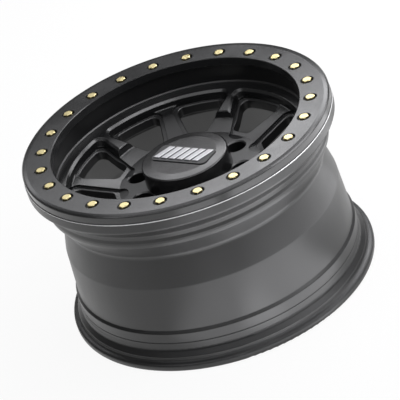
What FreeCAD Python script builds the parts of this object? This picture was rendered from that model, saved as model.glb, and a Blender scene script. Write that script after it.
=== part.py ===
"""Bare off-road alloy wheel: one-piece body, lip ring with its bolts, centre cap, spring ring and badge.

Millimetres. The wheel lies on its inboard flange: Z is the wheel's axis, and Z = 0 is the back of that flange.
"""
import FreeCAD, Part
import math
import os
from FreeCAD import Vector

AXIS = Vector(0, 0, 1)
ORIGIN = Vector(0, 0, 0)
TOUCH = 1e-6
NEAR = 0.02

# Rim: radii come from the bead seat, heights are stacked from the inboard flange upwards
bead_seat_diameter = 436.6
outboard_flange_height = 17.5
inboard_flange_height = 18.8
inboard_lip_width = 11.0
inboard_root_height = 16.0
inboard_seat_width = 28.0
inboard_step_width = 3.7
inboard_seat_rise = 1.6
barrel_inset = 2.0
barrel_length = 70.6
barrel_taper = 4.3
well_depth = 17.4
well_rise_length = 48.3
well_fall_length = 31.5
outboard_seat_width = 17.5
outboard_root_height = 17.0
outboard_flange_width = 15.9
barrel_wall = 7.5
hump_height = 1.1
hump_width = 6.4
lip_round = 4.0
flange_round = 5.0
root_round = 6.5
well_round = 10.0
kink_round = 14.0
bead_groove_width = 1.4
bead_groove_depth = 0.9
bare_edge = 1.3

# Lip ring and its bolts
ring_thickness = 12.85
ring_inner_margin = 16.5
lip_overhang = 7.9
ring_side_inset = 1.4
ring_outer_bevel = 2.2
ring_inner_bevel = 1.0
bolt_count = 24
bolt_edge_distance = 29.8
bolt_clocking = -0.8
bolt_thread_diameter = 8.0
bolt_head_across_flats = 13.0
bolt_head_height = 5.3
bolt_head_crown_angle = 30.0
bolt_head_flat_diameter = 11.7
bolt_engagement = 18.0
bolt_hole_clearance = 0.5
thread_clearance = 0.05
tap_run_out = 3.0
counterbore_diameter = 20.6
counterbore_depth = 3.65

# Face: depths are taken from the seat of the ring, and the levels are cones about the axis
spoke_count = 5
face_depth = 34.0
face_slope_angle = 15.8
face_corner_height = 2.0
face_corner_width = 1.5
face_band_width = 16.5
spoke_top_length = 42.1
spoke_foot_length = 26.3
step_lean = 3.0
floor_depth = 10.6
step_fillet = 3.0
rebate_depth = 4.0
spoke_thickness = 18.0
pocket_outer_draft = 5.0
pocket_side_draft = 24.0
pocket_corner = 11.0
pocket_chamfer = 2.9
step_chamfer = 1.2
spoke_half_width_at_step = 15.5
spoke_taper_angle = 1.9
rebate_outer_bite = 0.3
rebate_side_bite = 0.4
rebate_hub_reach = 14.0
rebate_ramp_length = 15.0
rebate_end_depth = 1.5
rebate_foot_flare = 8.0
rebate_corner = 14.0
spoke_bend_round = 36.0
rebate_rib_corner = 12.0
rib_half_width = 13.5
rib_taper_angle = 4.9
rib_end_fillet = 3.5
rib_end_sink = 0.3
window_hub_ledge = 6.5
window_outer_gap = 3.4
window_side_ledge = 5.8
window_rib_ledge = 7.0
window_corner = 10.0
window_rib_corner = 10.0
window_chamfer = 1.0

# Hub
hub_length = 75.0
hub_edge_width = 20.45
hub_back_draft = 6.0
hub_bore_diameter = 130.8
hub_bore_chamfer = 2.0
cap_bore_depth = 25.0
lug_count = 8
lug_clocking = 19.4
lug_circle_diameter = 165.1
lug_hole_diameter = 15.5
lug_well_diameter = 29.6
lug_well_chamfer = 2.0
lug_seat_thickness = 14.0
lug_seat_angle = 60.0
relief_width = 23.0
relief_angle = 19.0
relief_depth = 30.0
relief_corner = 3.5
valve_hole_diameter = 11.5
valve_lean_angle = 33.0
valve_clocking = 176.0
valve_hole_length = 60.0

# Centre cap, its spring ring and its badge
cap_top_radius = 66.0
cap_seat_width = 4.0
cap_draft = 1.0
cap_height = 29.9
cap_wall = 3.0
cap_edge_round = 3.0
cap_flat_radius = 50.0
cap_fall = 1.2
clip_count = 6
clip_width = 18.0
clip_thickness = 2.6
clip_length = 21.0
clip_clearance = 0.3
clip_root_overlap = 1.0
retainer_wire_diameter = 3.4
retainer_depth = 12.0
badge_length = 98.0
badge_width = 40.0
badge_thickness = 1.4
badge_corner = 8.0
badge_clocking = -43.0
badge_bar_count = 6
badge_bar_pitch = 14.0
badge_bar_width = 10.0
badge_bar_length = 31.0
badge_bar_height = 1.8
badge_bar_lean = 20.0
badge_bar_corner = 1.0
badge_bar_bevel = 0.7


def rounded_wire(corners, place):
    """Closed wire through (u, v, radius) corners, with a tangent arc at each corner that has a radius."""
    count = len(corners)
    starts = []
    middles = []
    ends = []
    for index in range(count):
        u, v, radius = corners[index]
        corner = Vector(u, v, 0)
        before = Vector(*corners[index - 1][:2], 0) - corner
        after = Vector(*corners[(index + 1) % count][:2], 0) - corner
        half = before.getAngle(after) / 2
        reach = min(radius / math.tan(half), 0.48 * before.Length, 0.48 * after.Length)
        radius = reach * math.tan(half)
        before.normalize()
        after.normalize()
        inward = before + after
        inward.normalize()
        starts.append(corner + before * reach)
        ends.append(corner + after * reach)
        middles.append(corner + inward * (radius / math.sin(half) - radius))
    edges = []
    for index in range(count):
        start, middle, end = [place(p) for p in (starts[index], middles[index], ends[index])]
        if (start - end).Length > TOUCH:
            edges.append(Part.Arc(start, middle, end).toShape())
        following = place(starts[(index + 1) % count])
        if (following - end).Length > TOUCH:
            edges.append(Part.makeLine(end, following))
    return Part.Wire(edges)


def turned(corners, sweep=360.0):
    """Solid of revolution about the wheel's axis from (radius, height, corner radius) points."""
    wire = rounded_wire(corners, lambda p: Vector(p.x, 0, p.y))
    return Part.Face(wire).revolve(ORIGIN, AXIS, sweep)


def plate(corners, bottom, top):
    """Prism with vertical walls from (x, y, corner radius) points."""
    wire = rounded_wire(corners, lambda p: Vector(p.x, p.y, bottom))
    return Part.Face(wire).extrude(Vector(0, 0, top - bottom))


def around(shape, count, start=0.0):
    """Copies of a shape spaced evenly about the wheel's axis."""
    copies = []
    for index in range(count):
        copy = shape.copy()
        copy.rotate(ORIGIN, AXIS, start + 360.0 * index / count)
        copies.append(copy)
    return copies


def cylinder(radius, bottom, top, x=0.0, y=0.0):
    return Part.makeCylinder(radius, top - bottom, Vector(x, y, bottom), AXIS)


def tan_deg(angle):
    return math.tan(math.radians(angle))


# Heights and radii that several pieces share
bead_radius = bead_seat_diameter / 2
outboard_flange_radius = bead_radius + outboard_flange_height
inboard_flange_radius = bead_radius + inboard_flange_height
inboard_root_z = inboard_lip_width + inboard_root_height
inboard_seat_end_z = inboard_root_z + inboard_seat_width
barrel_start_z = inboard_seat_end_z + inboard_step_width
kink_z = barrel_start_z + barrel_length
well_z = kink_z + well_rise_length
outboard_seat_start_z = well_z + well_fall_length
outboard_root_z = outboard_seat_start_z + outboard_seat_width
flange_low_z = outboard_root_z + outboard_root_height
ring_seat_z = flange_low_z + outboard_flange_width
ring_top_z = ring_seat_z + ring_thickness
barrel_radius = bead_radius - barrel_inset
kink_radius = barrel_radius - barrel_taper
well_radius = bead_radius - well_depth
bolt_circle_radius = outboard_flange_radius - bolt_edge_distance
ring_inner_radius = bolt_circle_radius - ring_inner_margin
lip_bore_radius = ring_inner_radius + lip_overhang
face_edge_radius = lip_bore_radius - face_corner_width
face_z = ring_seat_z - face_depth
pocket_outer_radius = face_edge_radius - face_band_width
step_radius = pocket_outer_radius - spoke_top_length
step_foot_radius = step_radius - step_lean
hub_pad_radius = step_foot_radius - spoke_foot_length
rebate_inner_radius = hub_pad_radius - rebate_hub_reach
window_inner_radius = rebate_inner_radius + rebate_ramp_length + window_hub_ledge
lug_circle_radius = lug_circle_diameter / 2
hub_back_radius = lug_circle_radius + hub_edge_width
spoke_spacing = 360.0 / spoke_count
rib_angle = 90.0


def face_height(radius):
    """Height of the top of the spokes and of the band around them."""
    return face_z - (face_edge_radius - radius) * tan_deg(face_slope_angle)


def floor_height(radius):
    """Height of the lower level: the rib tops, the spoke feet and the pocket floors."""
    return face_height(radius) - floor_depth


def rebate_height(radius):
    return floor_height(radius) - rebate_depth


def back_height(radius):
    return floor_height(radius) - spoke_thickness


hub_pad_z = floor_height(hub_pad_radius)
hub_back_z = hub_pad_z - hub_length
hub_bore_radius = hub_bore_diameter / 2
cap_bore_radius = cap_top_radius - cap_seat_width
cap_top_z = hub_pad_z + cap_height
lug_step = 360.0 / lug_count
cut_margin = 1.0
pocket_foot_radius = pocket_outer_radius - floor_depth * tan_deg(pocket_outer_draft)


def body_blank():
    """Turned wheel before the pockets, windows and holes are cut."""
    seat_radius = bead_radius + inboard_seat_rise
    lip_seat_radius = (bead_radius + inboard_flange_radius) / 2
    hump_z = outboard_seat_start_z + hump_width / 2
    well_inner_radius = well_radius - barrel_wall
    hub_neck_z = back_height(hub_back_radius)
    hub_neck_radius = hub_back_radius + (hub_neck_z - hub_back_z) * tan_deg(hub_back_draft)
    groove_z = (inboard_root_z + inboard_seat_end_z) / 2 - bead_groove_width * 2
    outside = [
        (lip_bore_radius, ring_seat_z, 0),
        (outboard_flange_radius - bare_edge, ring_seat_z, 0),
        (outboard_flange_radius, ring_seat_z - bare_edge, 0),
        (outboard_flange_radius, flange_low_z, flange_round),
        (bead_radius + outboard_flange_height / 4, outboard_root_z + root_round / 2, root_round),
        (bead_radius, outboard_root_z, root_round),
        (bead_radius - hump_height, hump_z + hump_width, 0),
        (bead_radius, hump_z + hump_width / 4, hump_width / 4),
        (bead_radius, hump_z - hump_width / 4, hump_width / 4),
        (bead_radius - hump_height, outboard_seat_start_z - hump_width / 2, well_round),
        (well_radius, well_z, well_round),
        (kink_radius, kink_z, kink_round),
        (barrel_radius, barrel_start_z, 0),
        (seat_radius, inboard_seat_end_z, inboard_step_width / 2),
        (seat_radius, groove_z + bead_groove_width, 0),
        (seat_radius - bead_groove_depth, groove_z + bead_groove_width / 2, 0),
        (seat_radius, groove_z, 0),
        (seat_radius, inboard_root_z, root_round),
        (lip_seat_radius, inboard_root_z - inboard_root_height / 2, inboard_step_width / 2),
        (lip_seat_radius, inboard_lip_width + inboard_step_width / 2, inboard_step_width),
        (inboard_flange_radius, inboard_lip_width, lip_round),
        (inboard_flange_radius, 0, lip_round),
    ]
    inside = [
        (seat_radius, 0, lip_round),
        (barrel_radius - barrel_wall, inboard_root_z, kink_round),
        (barrel_radius - barrel_wall, barrel_start_z, kink_round),
        (kink_radius - barrel_wall, kink_z, kink_round),
        (well_inner_radius, well_z, well_round),
        (well_inner_radius, back_height(well_inner_radius), well_round),
        (hub_neck_radius, hub_neck_z, well_round),
        (hub_back_radius, hub_back_z, 0),
        (hub_bore_radius + hub_bore_chamfer, hub_back_z, 0),
        (hub_bore_radius, hub_back_z + hub_bore_chamfer, 0),
        (hub_bore_radius, hub_pad_z - cap_bore_depth, 0),
        (cap_bore_radius, hub_pad_z - cap_bore_depth, 0),
        (cap_bore_radius, hub_pad_z, 0),
    ]
    front = [
        (hub_pad_radius, hub_pad_z, 0),
        (step_foot_radius, floor_height(step_foot_radius), step_fillet),
        (step_radius, face_height(step_radius), 0),
        (face_edge_radius, face_z, 0),
        (lip_bore_radius, face_z + face_corner_height, 0),
    ]
    return turned(outside + inside + front)


def spoke_point(along, off):
    """Plan point beside the spoke that follows the rib on +X: along its axis, and off it towards the rib."""
    half = math.radians(spoke_spacing / 2)
    return (
        along * math.cos(half) + off * math.sin(half),
        along * math.sin(half) - off * math.cos(half),
    )


def pocket_outline(height, shift):
    """Wedge between two spokes, symmetrical about the rib on +X, at one height."""
    reach = 2 * pocket_outer_radius
    off = spoke_half_width_at_step + shift
    near = spoke_point(step_radius, off)
    far = spoke_point(reach, off - (reach - step_radius) * tan_deg(spoke_taper_angle))
    apex_x = near[0] - near[1] * (far[0] - near[0]) / (far[1] - near[1])
    return [Vector(apex_x, 0, height), Vector(far[0], -far[1], height), Vector(*far, height)]


def drafted_solid(low, high):
    """Solid with flat sides between two outlines that have matching corners."""
    faces = [Part.Face(Part.makePolygon(outline + outline[:1])) for outline in (low, high)]
    for index in range(len(low)):
        after = (index + 1) % len(low)
        side = [low[index], low[after], high[after], high[index], low[index]]
        faces.append(Part.Face(Part.makePolygon(side)))
    return Part.Solid(Part.Shell(faces))


def pocket_cutter():
    """Recess between two spokes, with drafted sides and rounded outer corners."""
    low = floor_height(step_foot_radius) - floor_depth
    high = ring_seat_z
    draft = tan_deg(pocket_side_draft)
    level = floor_height(step_radius)
    wedge = drafted_solid(
        pocket_outline(low, (level - low) * draft),
        pocket_outline(high, (level - high) * draft),
    )
    rim_radius = pocket_outer_radius + (high - face_height(pocket_outer_radius)) * tan_deg(pocket_outer_draft)
    inner_radius = hub_pad_radius
    room = turned(
        [
            (inner_radius, floor_height(inner_radius), 0),
            (pocket_foot_radius, floor_height(pocket_foot_radius), 0),
            (rim_radius, high, 0),
            (inner_radius, high, 0),
        ]
    )
    cutter = wedge.common(room)
    corners = []
    for edge in cutter.Edges:
        start, end = [vertex.Point for vertex in (edge.Vertexes[0], edge.Vertexes[-1])]
        inmost = min(math.hypot(p.x, p.y) for p in (start, end))
        if abs(start.z - end.z) > floor_depth and inmost > pocket_foot_radius - 1 and abs(start.y) > 1:
            corners.append(edge)
    return cutter.makeFillet(pocket_corner, corners)


def rib_side(along, ledge):
    """Plan point beside the rib on +X, which narrows outwards."""
    return along, rib_half_width + ledge - (along - hub_pad_radius) * tan_deg(rib_taper_angle)


def rib_end():
    """Fillet between the outer end of the rib on +X and the wall of its pocket."""
    reach = rib_end_fillet + rib_end_fillet / 2
    foot_z = floor_height(pocket_foot_radius)
    inner_radius = pocket_foot_radius - reach
    wall_radius = pocket_foot_radius + reach * tan_deg(pocket_outer_draft)
    half_angle = math.degrees(rib_side(pocket_foot_radius, rebate_rib_corner)[1] / pocket_foot_radius)
    fillet = turned(
        [
            (inner_radius, floor_height(inner_radius) - rib_end_sink, 0),
            (pocket_foot_radius, foot_z, rib_end_fillet),
            (wall_radius + rib_end_sink, foot_z + reach, 0),
            (pocket_foot_radius + reach, foot_z + reach, 0),
            (pocket_foot_radius + reach, foot_z - reach, 0),
            (inner_radius, foot_z - reach, 0),
        ],
        2 * half_angle,
    )
    fillet.rotate(ORIGIN, AXIS, -half_angle)
    return fillet


def window_outline(off, ledge, inner, flare, spoke_corner, rib_corner):
    """Plan of a window or of its rebate on one side of the rib on +X, open past the outer arc."""
    far = pocket_outer_radius * 1.2
    foot_taper = tan_deg(spoke_taper_angle) + tan_deg(face_slope_angle) * tan_deg(pocket_side_draft)
    narrowed = off - (far - step_radius) * foot_taper
    return [
        (*spoke_point(inner, off + flare), spoke_corner),
        (*spoke_point(step_radius, off), spoke_bend_round),
        (*spoke_point(far, narrowed), 0),
        (*rib_side(far, ledge), 0),
        (*rib_side(inner, ledge), rib_corner),
    ]


def trimmed_prism(outline, outer_radius, bottom, top, spoke_corner, rib_corner):
    """Prism of an outline that ends at an outer arc, with its two outer corners rounded."""
    prism = plate(outline, bottom, top).common(cylinder(outer_radius, bottom, top))
    for radius, side in ((spoke_corner, 1), (rib_corner, -1)):
        upright = []
        for edge in prism.Edges:
            start = edge.Vertexes[0].Point
            is_upright = abs(edge.Vertexes[-1].Z - start.z) > (top - bottom) / 2
            if is_upright and abs(math.hypot(start.x, start.y) - outer_radius) < NEAR:
                upright.append((start.y * side, edge))
        prism = prism.makeFillet(radius, [max(upright, key=lambda item: item[0])[1]])
    return prism


def rebate_cutter():
    """Shallow rebate around one window, with a ramp up to the hub at its inner end."""
    off = spoke_half_width_at_step - rebate_side_bite
    outline = window_outline(off, 0, rebate_inner_radius, rebate_foot_flare, rebate_corner, rebate_corner)
    outer_radius = pocket_foot_radius + rebate_outer_bite
    top = face_z
    bottom = rebate_height(rebate_inner_radius) - rebate_depth
    prism = trimmed_prism(outline, outer_radius, bottom, top, pocket_corner, rebate_rib_corner)
    end_z = hub_pad_z - rebate_end_depth
    ramp_foot = rebate_inner_radius + rebate_ramp_length
    room = turned(
        [
            (hub_bore_radius, end_z, 0),
            (rebate_inner_radius, end_z, 0),
            (ramp_foot, rebate_height(ramp_foot), 0),
            (pocket_outer_radius, rebate_height(pocket_outer_radius), 0),
            (pocket_outer_radius, top, 0),
            (hub_bore_radius, top, 0),
        ]
    )
    return prism.common(room)


def window_cutter():
    """Opening right through the face on one side of a rib."""
    off = spoke_half_width_at_step - rebate_side_bite + window_side_ledge
    outline = window_outline(off, window_rib_ledge, window_inner_radius, 0, window_corner, window_corner)
    outer_radius = pocket_foot_radius + rebate_outer_bite - window_outer_gap
    return trimmed_prism(outline, outer_radius, hub_back_z, face_z, window_corner, window_rib_corner)


def both_sides(cutter):
    return [cutter, cutter.mirror(ORIGIN, Vector(0, 1, 0))]


def edges_on(shape, height_of, inner, outer):
    """Edges that lie on one level of the face and have their outer end between two radii."""
    found = []
    for edge in shape.Edges:
        points = edge.discretize(7)
        radii = [math.hypot(p.x, p.y) for p in points]
        level = max(abs(p.z - height_of(r)) for p, r in zip(points, radii))
        if level < NEAR and inner < max(radii) < outer:
            found.append(edge)
    return found


def edges_of_cut(edges, cutters):
    """The edges among these that a set of cutters left."""
    found = []
    for edge in edges:
        middle = Part.Vertex(edge.valueAt((edge.FirstParameter + edge.LastParameter) / 2))
        if min(cutter.distToShape(middle)[0] for cutter in cutters) < NEAR:
            found.append(edge)
    return found


def lug_cutter():
    """Stud hole, conical nut seat and socket well of one lug."""
    hole_radius = lug_hole_diameter / 2
    well_radius_lug = lug_well_diameter / 2
    seat_z = hub_back_z + lug_seat_thickness
    cone = (well_radius_lug - hole_radius) / tan_deg(lug_seat_angle / 2)
    tool = turned(
        [
            (0, hub_back_z - cut_margin, 0),
            (hole_radius, hub_back_z - cut_margin, 0),
            (hole_radius, seat_z, 0),
            (well_radius_lug, seat_z + cone, 0),
            (well_radius_lug, hub_pad_z - lug_well_chamfer, 0),
            (well_radius_lug + 2 * lug_well_chamfer, hub_pad_z + lug_well_chamfer, 0),
            (0, hub_pad_z + lug_well_chamfer, 0),
        ]
    )
    tool.translate(Vector(lug_circle_radius, 0, 0))
    return tool


def valve_cutter():
    """Hole for the valve, from the band of the face down to the well of the rim."""
    band_radius = (face_edge_radius + pocket_outer_radius) / 2 + pocket_chamfer / 2
    lean = math.radians(valve_lean_angle)
    down = Vector(math.sin(lean), 0, -math.cos(lean))
    mouth = Vector(band_radius, 0, face_height(band_radius))
    start = mouth - down * valve_hole_diameter
    hole = Part.makeCylinder(valve_hole_diameter / 2, valve_hole_length, start, down)
    hole.rotate(ORIGIN, AXIS, valve_clocking)
    return hole


def relief_cutter():
    """Weight-saving recess in the mounting face between two lugs."""
    half = math.radians(relief_angle / 2)
    inner = lug_circle_radius - relief_width / 2
    outer = inner + relief_width
    corners = []
    for radius, turn in ((inner, -half), (outer, -half), (outer, half), (inner, half)):
        corners.append((radius * math.cos(turn), radius * math.sin(turn), relief_corner))
    return plate(corners, hub_back_z - cut_margin, hub_back_z + relief_depth)


def spoked_face(body):
    """Cut the pockets, rebates and windows of the face, and break their edges."""
    body = body.cut(around(pocket_cutter(), spoke_count, rib_angle))
    rims = edges_on(body, face_height, step_radius + pocket_corner, pocket_outer_radius + pocket_chamfer)
    body = body.makeChamfer(pocket_chamfer, rims)
    steps = edges_on(body, face_height, step_radius - step_chamfer, step_radius + step_chamfer)
    body = body.makeChamfer(step_chamfer, steps)
    body = body.fuse(around(rib_end(), spoke_count, rib_angle))
    rebates = []
    for side in both_sides(rebate_cutter()):
        rebates += around(side, spoke_count, rib_angle)
    windows = []
    for side in both_sides(window_cutter()):
        windows += around(side, spoke_count, rib_angle)
    body = body.cut(rebates).cut(windows)
    sills = edges_on(body, rebate_height, window_inner_radius, pocket_outer_radius)
    return body.makeChamfer(window_chamfer, edges_of_cut(sills, windows))


def wheel_body():
    body = spoked_face(body_blank())
    holes = around(lug_cutter(), lug_count, lug_clocking)
    holes += around(relief_cutter(), lug_count, lug_clocking + lug_step / 2)
    holes.append(valve_cutter())
    tap_radius = bolt_thread_diameter / 2 + thread_clearance
    tap_bottom = ring_seat_z - bolt_engagement - tap_run_out
    tap = cylinder(tap_radius, tap_bottom, ring_seat_z + cut_margin, bolt_circle_radius)
    holes += around(tap, bolt_count, rib_angle + bolt_clocking)
    return body.cut(holes).Solids[0]


def lip_ring():
    outer_radius = outboard_flange_radius - ring_side_inset
    ring = turned(
        [
            (ring_inner_radius, ring_seat_z, 0),
            (outer_radius, ring_seat_z, 0),
            (outer_radius, ring_top_z - ring_outer_bevel, 0),
            (outer_radius - ring_outer_bevel, ring_top_z, 0),
            (ring_inner_radius + ring_inner_bevel, ring_top_z, 0),
            (ring_inner_radius, ring_top_z - ring_inner_bevel, 0),
        ]
    )
    seat_z = ring_top_z - counterbore_depth
    hole_radius = bolt_thread_diameter / 2 + bolt_hole_clearance
    hole = cylinder(hole_radius, ring_seat_z - cut_margin, ring_top_z, bolt_circle_radius)
    bore = cylinder(counterbore_diameter / 2, seat_z, ring_top_z + cut_margin, bolt_circle_radius)
    return ring.cut(around(hole.fuse(bore), bolt_count, rib_angle + bolt_clocking)).Solids[0]


def ring_bolts():
    """Hexagon bolts seated in the counterbores of the ring."""
    seat_z = ring_top_z - counterbore_depth
    corner_radius = bolt_head_across_flats / 2 / math.cos(math.pi / 6)
    hexagon = []
    for index in range(7):
        angle = math.radians(60 * index)
        hexagon.append(Vector(corner_radius * math.cos(angle), corner_radius * math.sin(angle), seat_z))
    head = Part.Face(Part.makePolygon(hexagon)).extrude(AXIS * bolt_head_height)
    flat_radius = bolt_head_flat_diameter / 2
    fall = (corner_radius - flat_radius) * tan_deg(bolt_head_crown_angle)
    crown = turned(
        [
            (0, seat_z, 0),
            (corner_radius, seat_z, 0),
            (corner_radius, seat_z + bolt_head_height - fall, 0),
            (flat_radius, seat_z + bolt_head_height, 0),
            (0, seat_z + bolt_head_height, 0),
        ]
    )
    shank = cylinder(bolt_thread_diameter / 2, ring_seat_z - bolt_engagement, seat_z)
    bolt = head.common(crown).fuse(shank).removeSplitter()
    bolt.translate(Vector(bolt_circle_radius, 0, 0))
    return Part.makeCompound(around(bolt, bolt_count, rib_angle + bolt_clocking))


def center_cap():
    """Cup that stands on the hub pad, with sprung clips in the bore."""
    base_radius = cap_top_radius + cap_draft
    shell = turned(
        [
            (base_radius, hub_pad_z, 0),
            (cap_top_radius, cap_top_z - cap_fall, cap_edge_round),
            (cap_flat_radius, cap_top_z, 0),
            (0, cap_top_z, 0),
            (0, cap_top_z - cap_wall, 0),
            (cap_flat_radius, cap_top_z - cap_wall, 0),
            (cap_top_radius - cap_wall, cap_top_z - cap_fall - cap_wall, cap_edge_round),
            (cap_bore_radius, hub_pad_z + cap_wall, cap_edge_round),
            (cap_bore_radius, hub_pad_z, 0),
        ]
    )
    clip_outer = cap_bore_radius - clip_clearance
    clip_inner = clip_outer - clip_thickness
    tip_z = hub_pad_z - clip_length
    root_z = hub_pad_z + cap_wall + clip_root_overlap
    tube = turned(
        [
            (clip_inner, tip_z, 0),
            (clip_outer - clip_thickness / 2, tip_z, 0),
            (clip_outer, tip_z + clip_thickness, 0),
            (clip_outer, hub_pad_z, 0),
            (clip_outer + clip_root_overlap, hub_pad_z, 0),
            (clip_outer + clip_root_overlap, root_z, 0),
            (clip_inner, root_z, 0),
        ]
    )
    slab = Part.makeBox(cap_top_radius, clip_width, cap_top_z, Vector(0, -clip_width / 2, 0))
    clips = around(tube.common(slab), clip_count)
    return shell.fuse(clips).removeSplitter().Solids[0]


def cap_retainer():
    """Wire ring that presses the clips outwards."""
    wire_radius = retainer_wire_diameter / 2
    ring_radius = cap_bore_radius - clip_clearance - clip_thickness - wire_radius
    centre = Vector(0, 0, hub_pad_z - retainer_depth)
    return Part.makeTorus(ring_radius, wire_radius, centre, AXIS)


def badge_bar(place):
    """Slanted bar with bevelled top edges, standing on the badge's plate."""
    low = cap_top_z + badge_thickness
    top = low + badge_bar_height
    reach = badge_bar_length / 2
    shift = reach * tan_deg(badge_bar_lean)
    half = badge_bar_width / 2
    outline = [
        (place - shift - half, -reach, badge_bar_corner),
        (place - shift + half, -reach, badge_bar_corner),
        (place + shift + half, reach, badge_bar_corner),
        (place + shift - half, reach, badge_bar_corner),
    ]
    bar = plate(outline, low, top)
    rim = [edge for edge in bar.Edges if edge.BoundBox.ZMin > (low + top) / 2]
    return bar.makeChamfer(badge_bar_bevel, rim)


def cap_badge():
    """Plain plate on the flat top of the cap, with a row of slanted bars."""
    half_length = badge_length / 2
    half_width = badge_width / 2
    outline = [
        (-half_length, -half_width, badge_corner),
        (half_length, -half_width, badge_corner),
        (half_length, half_width, badge_corner),
        (-half_length, half_width, badge_corner),
    ]
    bars = []
    for index in range(badge_bar_count):
        bars.append(badge_bar((index - (badge_bar_count - 1) / 2) * badge_bar_pitch))
    badge = plate(outline, cap_top_z, cap_top_z + badge_thickness).fuse(bars).Solids[0]
    badge.rotate(ORIGIN, AXIS, badge_clocking)
    return badge


PIECES = {
    "wheel_body": wheel_body,
    "lip_ring": lip_ring,
    "ring_bolts": ring_bolts,
    "center_cap": center_cap,
    "cap_retainer": cap_retainer,
    "cap_badge": cap_badge,
}

os.makedirs("parts", exist_ok=True)
for node, make in PIECES.items():
    make().exportStep("parts/" + node + ".step")
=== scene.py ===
"""Looks of a bare satin-black off-road wheel: finishes, soft studio light, pale floor and camera.

Metres, degrees and linear colours. The wheel lies on its inboard flange, with its axis along Z.
"""
import math

import bpy
from mathutils import Matrix, Vector


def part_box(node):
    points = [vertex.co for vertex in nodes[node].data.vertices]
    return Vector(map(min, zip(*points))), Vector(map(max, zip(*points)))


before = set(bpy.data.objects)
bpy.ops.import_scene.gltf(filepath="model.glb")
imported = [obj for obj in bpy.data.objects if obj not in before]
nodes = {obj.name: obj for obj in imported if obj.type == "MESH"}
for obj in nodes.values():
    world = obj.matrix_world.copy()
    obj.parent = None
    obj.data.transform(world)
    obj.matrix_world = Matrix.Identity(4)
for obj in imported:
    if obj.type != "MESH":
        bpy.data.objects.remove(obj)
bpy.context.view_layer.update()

# Camera
VIEW_ELEVATION = 29.98
VIEW_ROLL = 18.52
VIEW_TURN = -1.4
VIEW_DISTANCE = 3.1432
VIEW_AIM_RIGHT = 0.0389
VIEW_AIM_DOWN = 0.1110
LENS = 193.2
SENSOR = 36.0

# Light: a level of 1 is as bright as a white surface
WORLD_LEVEL = 0.14
LAMP_TINT = (0.975, 0.975, 1.0)
DOWN = Vector((0, 0, -1))
UP = Vector((0, 0, 1))
OVERHEAD_HEIGHT = 1.0
OVERHEAD_PANELS = {
    "key": {"place": (0.33, 1.1), "size": (0.42, 0.5), "level": 4.4},
    "key_mid": {"place": (0.01, 1.055), "size": (0.22, 0.41), "level": 3.3},
    "key_right": {"place": (0.82, 1.2), "size": (0.56, 0.7), "level": 5.1},
    "key_left": {"place": (-0.3, 1.075), "size": (0.4, 0.45), "level": 1.7},
    "key_side": {"place": (-0.78, 1.35), "size": (0.52, 0.7), "level": 1.76},
    "over_mid": {"place": (0.08, 0.42), "size": (0.8, 0.8), "level": 0.96},
    "over_right": {"place": (0.68, 0.47), "size": (0.36, 0.74), "level": 3.24},
    "over_front": {"place": (0.29, -0.36), "size": (0.74, 0.18), "level": 5.5},
    "over_left": {"place": (-0.5, -0.28), "size": (0.8, 0.36), "level": 1.47},
    "front": {"place": (0.0, -0.75), "size": (1.2, 0.5), "level": 0.74},
}
SLANTED_PANELS = {
    "strip_right": {
        "place": (0.84, -0.1, 0.9), "aim": (-0.1, 0.14, 0.22), "size": (0.7, 0.4), "level": 4.78,
    },
    "strip_back": {
        "place": (0.88, 0.5, 0.64), "aim": (-0.13, 0.1, 0.22), "size": (0.6, 0.25), "level": 3.82,
    },
    "front_right": {
        "place": (0.92, -0.92, 0.95), "aim": (0.0, 0.0, 0.2), "size": (0.8, 0.8), "level": 1.18,
    },
}
FLOOR_PANEL_HEIGHT = 0.003
FLOOR_PANELS = {
    "low_left": {"place": (-0.04, -0.545), "size": (0.28, 0.6), "level": 1.32},
    "low_front": {"place": (0.27, -0.468), "size": (0.3, 0.6), "level": 2.21, "turn": 30},
    "low_right": {"place": (0.75, -0.25), "size": (0.65, 0.9), "level": 1.7},
}

# Floor
FLOOR_SIZE = 60.0
FLOOR_WHITE = (0.92, 0.92, 0.92, 1)
FLOOR_ROUGHNESS = 0.8
FLOOR_GLOW_SHARE = 0.92

# Places on the wheel
FLANGE_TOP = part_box("lip_ring")[0].z
BOLT_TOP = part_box("ring_bolts")[1].z
BADGE_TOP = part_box("cap_badge")[1].z
FLANGE_RADIUS = 0.2358
FACE_RADIUS = 0.192
FACE_RADIUS_FADE = 0.002
RECESS_TOP = 0.2055
RECESS_FADE = 0.001
LIP_TOP = 0.0145
LIP_FADE = 0.002
LIP_ROUND = 0.005

# Satin powder coat, shared by the body, the ring and the cap
PEEL_SCALE = 900.0
PEEL_STRENGTH = 0.08
PEEL_HEIGHT = 0.0004
CLOUD_SCALE = 14.0
NOISE_LOW = 0.3
NOISE_HIGH = 0.7
ROUGHNESS_SPREAD = 0.03
COAT_SPECULAR = 0.68

# Body: the raised face is glossier than the barrel, and the recesses lie in between
BODY_DARK = (0.0068, 0.0069, 0.0073, 1)
BODY_PALE = (0.0095, 0.0097, 0.0101, 1)
BODY_ROUGHNESS = 0.36
BODY_EDGE = 0.0012
FACE_SHARE = 0.57
RECESS_SHARE = 0.86

# Bare turned line on the outer corner of the outboard flange
BARE_EDGE = 0.0013
BARE_FADE_START = 0.0003
BARE_FADE_END = 0.0002
BARE_TOP_START = 0.0007
BARE_TOP_END = 0.0005
BARE_COLOR = (0.88, 0.88, 0.88, 1)
BARE_SHARE = 0.8
BARE_METALLIC = 0.3

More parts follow.
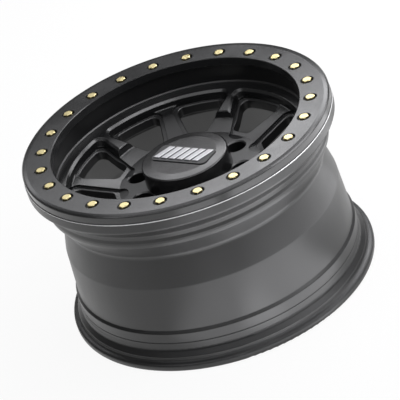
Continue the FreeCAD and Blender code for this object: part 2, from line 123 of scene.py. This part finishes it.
# Ring, with a soft slope along its outer edge
RING_DARK = (0.0122, 0.0125, 0.0131, 1)
RING_PALE = (0.0163, 0.0166, 0.0171, 1)
RING_ROUGHNESS = 0.21
RING_EDGE = 0.0006
RING_SPECULAR = 0.74
RING_SLOPE_START = 0.2262
RING_SLOPE_FADE = 0.001
RING_SLOPE_WIDTH = 0.006
RING_SLOPE_SOFTNESS = 0.0012
RING_SLOPE = 0.25
RING_SLOPE_EDGE = 0.0022

# Cap
CAP_DARK = (0.0095, 0.0095, 0.0099, 1)
CAP_PALE = (0.0122, 0.0122, 0.0128, 1)
CAP_ROUGHNESS = 0.21
CAP_EDGE = 0.0008

# Bolts
GOLD_DARK = (0.68, 0.56, 0.24, 1)
GOLD_PALE = (0.92, 0.82, 0.49, 1)
GOLD_SCALE = 160.0
GOLD_ROUGHNESS = (0.24, 0.36)
GOLD_EDGE = 0.0004

# Badge
PLATE_COLOR = (0.0272, 0.0272, 0.0286, 1)
BAR_DARK = (0.43, 0.43, 0.44, 1)
BAR_PALE = (0.58, 0.58, 0.6, 1)
BAR_HEIGHT = 0.0018
BAR_FADE_START = 0.0002
BAR_FADE_END = 0.0005
BAR_SCALE = 700.0
BAR_ROUGHNESS = (0.3, 0.42)
BAR_EDGE = 0.0005

# Wire ring in the cap
WIRE_DARK = (0.49, 0.49, 0.5, 1)
WIRE_PALE = (0.63, 0.63, 0.64, 1)
WIRE_SCALE = 900.0
WIRE_ROUGHNESS = (0.3, 0.45)

FINE = 2.0
CLOUDY = 3.0


class Nodes:
    """Short way to add and join the nodes of one material."""

    def __init__(self, name):
        self.material = bpy.data.materials.new(name)
        self.material.use_nodes = True
        self.tree = self.material.node_tree
        self.shader = self.tree.nodes["Principled BSDF"]
        self.output = self.tree.nodes["Material Output"]
        self.place = self.add("ShaderNodeTexCoord").outputs["Object"]

    def add(self, kind, **settings):
        node = self.tree.nodes.new(kind)
        for key, value in settings.items():
            setattr(node, key, value)
        return node

    def join(self, source, target):
        """Link a socket to the target, or set a plain value on it."""
        if hasattr(source, "is_linked"):
            self.tree.links.new(source, target)
        else:
            target.default_value = source

    def set(self, **values):
        for key, value in values.items():
            self.join(value, self.shader.inputs[key.replace("_", " ")])

    def linked(self, name):
        """Socket that feeds this input of the shader so far."""
        return self.shader.inputs[name].links[0].from_socket

    def math(self, operation, first, second=0.0):
        node = self.add("ShaderNodeMath", operation=operation)
        self.join(first, node.inputs[0])
        self.join(second, node.inputs[1])
        return node.outputs[0]

    def noise(self, scale, detail):
        node = self.add("ShaderNodeTexNoise")
        node.inputs["Scale"].default_value = scale
        node.inputs["Detail"].default_value = detail
        self.join(self.place, node.inputs["Vector"])
        return node.outputs["Fac"]

    def span(self, value, low, high, to_low=0.0, to_high=1.0):
        node = self.add("ShaderNodeMapRange", interpolation_type="SMOOTHSTEP")
        self.join(value, node.inputs["Value"])
        node.inputs["From Min"].default_value = low
        node.inputs["From Max"].default_value = high
        node.inputs["To Min"].default_value = to_low
        node.inputs["To Max"].default_value = to_high
        return node.outputs["Result"]

    def noise_span(self, noise, to_low, to_high):
        return self.span(noise, NOISE_LOW, NOISE_HIGH, to_low, to_high)

    def blend(self, factor, first, second):
        node = self.add("ShaderNodeMix", data_type="RGBA")
        self.join(factor, node.inputs[0])
        self.join(first, node.inputs[6])
        self.join(second, node.inputs[7])
        return node.outputs[2]

    def blend_vectors(self, factor, first, second):
        node = self.add("ShaderNodeMix", data_type="VECTOR")
        self.join(factor, node.inputs[0])
        self.join(first, node.inputs[4])
        self.join(second, node.inputs[5])
        return node.outputs[1]

    def bump(self, height, strength, distance, normal):
        node = self.add("ShaderNodeBump")
        node.inputs["Strength"].default_value = strength
        node.inputs["Distance"].default_value = distance
        self.join(height, node.inputs["Height"])
        self.join(normal, node.inputs["Normal"])
        return node.outputs["Normal"]

    def rounded(self, radius):
        node = self.add("ShaderNodeBevel")
        node.inputs["Radius"].default_value = radius
        return node.outputs["Normal"]

    def radius_and_height(self):
        """Distance from the wheel's axis, and height above the floor."""
        split = self.add("ShaderNodeSeparateXYZ")
        self.join(self.place, split.inputs[0])
        across = self.math("POWER", split.outputs["X"], 2.0)
        along = self.math("POWER", split.outputs["Y"], 2.0)
        return self.math("SQRT", self.math("ADD", across, along)), split.outputs["Z"]


def satin_coat(name, dark, pale, roughness, edge):
    """Satin powder coat: fine orange peel, slight mottling of gloss and tone, softened edges."""
    coat = Nodes(name)
    peel = coat.noise(PEEL_SCALE, FINE)
    cloud = coat.noise(CLOUD_SCALE, CLOUDY)
    coat.set(
        Base_Color=coat.blend(cloud, dark, pale),
        Roughness=coat.noise_span(cloud, roughness - ROUGHNESS_SPREAD, roughness + ROUGHNESS_SPREAD),
        Specular_IOR_Level=COAT_SPECULAR,
        Normal=coat.bump(peel, PEEL_STRENGTH, PEEL_HEIGHT, coat.rounded(edge)),
    )
    return coat


def bare_line(coat, radius, height):
    """1 on the bevelled corner of the outboard flange, and 0 elsewhere."""
    corner = FLANGE_RADIUS + FLANGE_TOP - BARE_EDGE
    slanted = coat.math("ADD", radius, height)
    on_bevel = coat.span(slanted, corner - BARE_FADE_START, corner - BARE_FADE_END)
    below_top = coat.span(height, FLANGE_TOP - BARE_TOP_START, FLANGE_TOP - BARE_TOP_END, 1.0, 0.0)
    return coat.math("MULTIPLY", on_bevel, below_top)


def body_finish():
    """Black coat with a glossier face, a soft inboard lip and the bare turned line."""
    coat = satin_coat("body_black", BODY_DARK, BODY_PALE, BODY_ROUGHNESS, BODY_EDGE)
    radius, height = coat.radius_and_height()
    bare = bare_line(coat, radius, height)
    face = coat.span(
        height, RECESS_TOP - RECESS_FADE, RECESS_TOP + RECESS_FADE, RECESS_SHARE, FACE_SHARE
    )
    outside = coat.span(radius, FACE_RADIUS, FACE_RADIUS + FACE_RADIUS_FADE)
    gloss = coat.math("MULTIPLY", coat.linked("Roughness"), coat.math("MAXIMUM", face, outside))
    above_lip = coat.span(height, LIP_TOP, LIP_TOP + LIP_FADE)
    coat.set(
        Base_Color=coat.blend(bare, coat.linked("Base Color"), BARE_COLOR),
        Roughness=coat.math("MULTIPLY", gloss, coat.span(bare, 0.0, 1.0, 1.0, BARE_SHARE)),
        Metallic=coat.math("MULTIPLY", bare, BARE_METALLIC),
        Normal=coat.blend_vectors(above_lip, coat.rounded(LIP_ROUND), coat.linked("Normal")),
    )
    return coat.material


def ring_finish():
    """Black coat over a ring whose flat top slopes off gently towards its outer edge."""
    coat = satin_coat("ring_black", RING_DARK, RING_PALE, RING_ROUGHNESS, RING_EDGE)
    radius = coat.radius_and_height()[0]
    past = coat.math("SUBTRACT", radius, RING_SLOPE_START)
    past = coat.math("MINIMUM", coat.math("MAXIMUM", past, 0.0), RING_SLOPE_WIDTH)
    eased = coat.math("ADD", past, RING_SLOPE_SOFTNESS)
    eased = coat.math("DIVIDE", coat.math("POWER", past, 2.0), eased)
    fall = coat.math("MULTIPLY", eased, -RING_SLOPE)
    sloped = coat.bump(fall, 1.0, 1.0, coat.rounded(RING_SLOPE_EDGE))
    outer = coat.span(radius, RING_SLOPE_START - RING_SLOPE_FADE, RING_SLOPE_START)
    coat.set(
        Specular_IOR_Level=RING_SPECULAR,
        Normal=coat.blend_vectors(outer, coat.linked("Normal"), sloped),
    )
    return coat.material


def cap_finish():
    return satin_coat("cap_black", CAP_DARK, CAP_PALE, CAP_ROUGHNESS, CAP_EDGE).material


def bolt_finish():
    """Gold zinc plating with uneven tone."""
    plated = Nodes("bolt_gold")
    cloud = plated.noise(GOLD_SCALE, CLOUDY)
    plated.set(
        Base_Color=plated.blend(cloud, GOLD_DARK, GOLD_PALE),
        Metallic=1.0,
        Roughness=plated.noise_span(cloud, *GOLD_ROUGHNESS),
        Normal=plated.rounded(GOLD_EDGE),
    )
    return plated.material


def badge_finish():
    """Dark plate with brushed silver bars."""
    silver = Nodes("badge_silver")
    height = silver.radius_and_height()[1]
    grain = silver.noise(BAR_SCALE, FINE)
    plate_top = BADGE_TOP - BAR_HEIGHT
    raised = silver.span(height, plate_top + BAR_FADE_START, plate_top + BAR_FADE_END)
    silver.set(
        Base_Color=silver.blend(raised, PLATE_COLOR, silver.blend(grain, BAR_DARK, BAR_PALE)),
        Metallic=raised,
        Roughness=silver.noise_span(grain, *BAR_ROUGHNESS),
        Normal=silver.rounded(BAR_EDGE),
    )
    return silver.material


def wire_finish():
    """Drawn spring wire."""
    wire = Nodes("spring_steel")
    grain = wire.noise(WIRE_SCALE, FINE)
    wire.set(
        Base_Color=wire.blend(grain, WIRE_DARK, WIRE_PALE),
        Metallic=1.0,
        Roughness=wire.noise_span(grain, *WIRE_ROUGHNESS),
    )
    return wire.material


FINISHES = {
    "wheel_body": body_finish,
    "lip_ring": ring_finish,
    "ring_bolts": bolt_finish,
    "center_cap": cap_finish,
    "cap_retainer": wire_finish,
    "cap_badge": badge_finish,
}


def dress():
    """Give each carried-over node its finish."""
    for node, finish in FINISHES.items():
        piece = nodes[node]
        piece.data.materials.clear()
        piece.data.materials.append(finish())


def floor_finish():
    """White floor that keeps a soft shadow and looks white in reflections too."""
    white = Nodes("floor_white")
    white.set(Base_Color=FLOOR_WHITE, Roughness=FLOOR_ROUGHNESS)
    path = white.add("ShaderNodeLightPath")
    seen = white.math("MAXIMUM", path.outputs["Is Camera Ray"], path.outputs["Is Glossy Ray"])
    seen = white.math("MAXIMUM", seen, path.outputs["Is Transmission Ray"])
    glow = white.add("ShaderNodeEmission")
    mix = white.add("ShaderNodeMixShader")
    white.join(white.math("MULTIPLY", seen, FLOOR_GLOW_SHARE), mix.inputs[0])
    white.join(white.shader.outputs[0], mix.inputs[1])
    white.join(glow.outputs[0], mix.inputs[2])
    white.join(mix.outputs[0], white.output.inputs["Surface"])
    return white.material


def make_floor():
    bpy.ops.mesh.primitive_plane_add(size=FLOOR_SIZE)
    floor = bpy.context.object
    floor.name = "floor"
    floor.data.materials.append(floor_finish())


def add_panel(name, place, facing, size, level, turn=0):
    """Soft rectangular light, which the camera looks past."""
    light = bpy.data.lights.new(name, "AREA")
    light.shape = "RECTANGLE"
    light.color = LAMP_TINT
    light.size, light.size_y = size
    light.energy = level * math.pi * size[0] * size[1]
    lamp = bpy.data.objects.new(name, light)
    lamp.location = place
    turned = Matrix.Rotation(math.radians(turn), 3, "Z")
    lamp.rotation_euler = (turned @ facing.to_track_quat("-Z", "Y").to_matrix()).to_euler()
    lamp.visible_camera = False
    bpy.context.scene.collection.objects.link(lamp)


def light_studio():
    world = bpy.data.worlds.new("studio")
    bpy.context.scene.world = world
    world.use_nodes = True
    sky = world.node_tree.nodes["Background"]
    sky.inputs["Color"].default_value = (1, 1, 1, 1)
    sky.inputs["Strength"].default_value = WORLD_LEVEL
    for panels, height, facing in (
        (OVERHEAD_PANELS, OVERHEAD_HEIGHT, DOWN),
        (FLOOR_PANELS, FLOOR_PANEL_HEIGHT, UP),
    ):
        for name, panel in panels.items():
            add_panel(name, **{**panel, "place": (*panel["place"], height), "facing": facing})
    for name, panel in SLANTED_PANELS.items():
        facing = Vector(panel["aim"]) - Vector(panel["place"])
        add_panel(name, panel["place"], facing, panel["size"], panel["level"])


def place_camera():
    """Look at the wheel's face from the photograph's elevation, rolled about the line of sight."""
    elevation = math.radians(VIEW_ELEVATION)
    roll = math.radians(VIEW_ROLL)
    level = Vector((1, 0, 0))
    ahead = Vector((0, math.cos(elevation), -math.sin(elevation)))
    down = ahead.cross(level)
    right = level * math.cos(roll) + down * math.sin(roll)
    below = down * math.cos(roll) - level * math.sin(roll)
    aim = Vector((0, 0, BOLT_TOP)) + right * VIEW_AIM_RIGHT + below * VIEW_AIM_DOWN
    pose = Matrix((right, -below, -ahead)).transposed().to_4x4()
    pose.translation = aim - ahead * VIEW_DISTANCE
    camera_data = bpy.data.cameras.new("camera")
    camera_data.lens = LENS
    camera_data.sensor_width = SENSOR
    camera = bpy.data.objects.new("camera", camera_data)
    camera.matrix_world = Matrix.Rotation(math.radians(VIEW_TURN), 4, "Z") @ pose
    bpy.context.scene.collection.objects.link(camera)
    bpy.context.scene.camera = camera


bpy.context.scene.view_settings.view_transform = "Standard"
dress()
make_floor()
light_studio()
place_camera()
